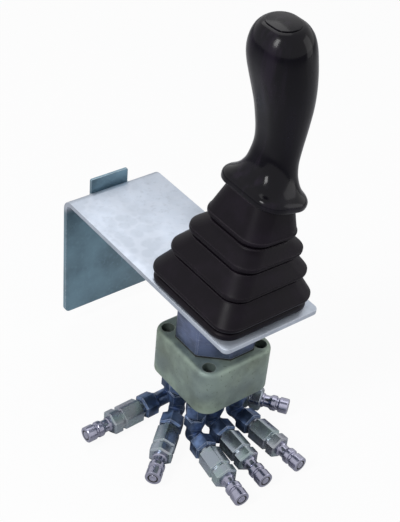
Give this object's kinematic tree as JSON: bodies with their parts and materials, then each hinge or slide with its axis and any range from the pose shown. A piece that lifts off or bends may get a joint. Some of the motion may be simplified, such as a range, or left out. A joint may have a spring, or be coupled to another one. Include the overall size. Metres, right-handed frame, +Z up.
{
  "type": "hydraulic pilot joystick valve",
  "caption": "Pilot control lever with a rubber boot on a two-axis joint, pushing spring-returned rods in a valve body under a bent bracket with angled quick-coupler legs",
  "frame": {"origin": "centre of the hook strip's rear face, which lies on the panel", "axes": "+Z up along the lever, +Y out of the rear face into the panel, +X to the right"},
  "size_m": [0.2012, 0.3149, 0.4384],
  "materials": {
    "zinc_sheet": "pale zinc-plated sheet",
    "boot_rubber": "matte black moulded rubber",
    "housing_zinc": "dull blue-grey zinc",
    "body_casting": "yellow-green passivated casting",
    "seal_rubber": "black seal",
    "black_steel": "black oxide",
    "bright_zinc": "bright zinc",
    "bush_bronze": "plain bronze",
    "plain_steel": "ground steel",
    "grip_plastic": "gloss black moulding",
    "blue_zinc": "dark blue zinc",
    "nickel_plate": "bright nickel"
  },
  "bodies": {
    "base": {"bracket_plate": "zinc_sheet", "hook_strip": "zinc_sheet", "boot_retainer": "zinc_sheet", "rubber_boot": "boot_rubber", "upper_housing": "housing_zinc", "lower_body": "body_casting", "body_gasket": "seal_rubber", "body_bolts": "black_steel", "shelf_screws": "black_steel", "shelf_nuts": "bright_zinc", "plunger_bushes": "bush_bronze", "plunger_seals": "seal_rubber", "lower_yoke": "plain_steel", "stud_locknuts": "blue_zinc", "stud_seals": "seal_rubber", "swivel_nuts": "blue_zinc", "adaptors": "bright_zinc", "nipples": "nickel_plate", "nipple_seals": "seal_rubber", "elbow_1": "blue_zinc", "elbow_2": "blue_zinc", "elbow_3": "blue_zinc", "elbow_4": "blue_zinc", "elbow_5": "blue_zinc", "elbow_6": "blue_zinc", "return_spring_1": "plain_steel", "return_spring_2": "plain_steel", "return_spring_3": "plain_steel", "return_spring_4": "plain_steel"},
    "cross": {"joint_cross": "plain_steel"},
    "lever": {"upper_yoke": "plain_steel", "actuating_disc": "plain_steel", "disc_nut": "bright_zinc", "lever_rod": "plain_steel", "grip": "grip_plastic", "grip_insert": "bush_bronze", "grip_cap": "grip_plastic"},
    "rod_1": {"push_rod_1": "plain_steel"},
    "rod_2": {"push_rod_2": "plain_steel"},
    "rod_3": {"push_rod_3": "plain_steel"},
    "rod_4": {"push_rod_4": "plain_steel"},
    "valve_1": {"poppet_1": "nickel_plate"},
    "valve_2": {"poppet_2": "nickel_plate"},
    "valve_3": {"poppet_3": "nickel_plate"},
    "valve_4": {"poppet_4": "nickel_plate"},
    "valve_5": {"poppet_5": "nickel_plate"},
    "valve_6": {"poppet_6": "nickel_plate"}
  },
  "joints": [
    {"name": "tilt_fore_aft", "type": "hinge", "parent": "base", "child": "cross", "pos_m": [0, -0.205, 0.037], "axis": [1, 0, 0], "range_deg": [-19, 19], "stiffness_Nm_per_rad": 5, "deforming": ["rubber_boot"]},
    {"name": "tilt_side", "type": "hinge", "parent": "cross", "child": "lever", "pos_m": [0, -0.205, 0.037], "axis": [0, 1, 0], "range_deg": [-19, 19], "stiffness_Nm_per_rad": 5, "deforming": ["rubber_boot"]},
    {"name": "plunge_front", "type": "slide", "parent": "base", "child": "rod_1", "axis": [0, 0, 1], "range_m": [-0.0075, 0.0075], "deforming": ["return_spring_1"]},
    {"name": "plunge_back", "type": "slide", "parent": "base", "child": "rod_2", "axis": [0, 0, 1], "range_m": [-0.0075, 0.0075], "deforming": ["return_spring_2"]},
    {"name": "plunge_right", "type": "slide", "parent": "base", "child": "rod_3", "axis": [0, 0, 1], "range_m": [-0.0075, 0.0075], "deforming": ["return_spring_3"]},
    {"name": "plunge_left", "type": "slide", "parent": "base", "child": "rod_4", "axis": [0, 0, 1], "range_m": [-0.0075, 0.0075], "deforming": ["return_spring_4"]},
    {"name": "poppet_slide_1", "type": "slide", "parent": "base", "child": "valve_1", "axis": [0.9996, 0.0286, 0], "range_m": [0, 0.005], "stiffness_N_per_m": 400},
    {"name": "poppet_slide_2", "type": "slide", "parent": "base", "child": "valve_2", "axis": [0.7593, 0.6508, 0], "range_m": [0, 0.005], "stiffness_N_per_m": 400},
    {"name": "poppet_slide_3", "type": "slide", "parent": "base", "child": "valve_3", "axis": [0.128, 0.9918, 0], "range_m": [0, 0.005], "stiffness_N_per_m": 400},
    {"name": "poppet_slide_4", "type": "slide", "parent": "base", "child": "valve_4", "axis": [0.0594, 0.9982, 0], "range_m": [0, 0.005], "stiffness_N_per_m": 400},
    {"name": "poppet_slide_5", "type": "slide", "parent": "base", "child": "valve_5", "axis": [-0.0835, 0.9965, 0], "range_m": [0, 0.005], "stiffness_N_per_m": 400},
    {"name": "poppet_slide_6", "type": "slide", "parent": "base", "child": "valve_6", "axis": [-0.59, 0.8074, 0], "range_m": [0, 0.005], "stiffness_N_per_m": 400}
  ],
  "couplings": [
    {"joint": "plunge_front", "follows": "tilt_fore_aft", "m_per_rad": -0.021},
    {"joint": "plunge_back", "follows": "tilt_fore_aft", "m_per_rad": 0.021},
    {"joint": "plunge_right", "follows": "tilt_side", "m_per_rad": -0.0217},
    {"joint": "plunge_left", "follows": "tilt_side", "m_per_rad": 0.0217}
  ]
}
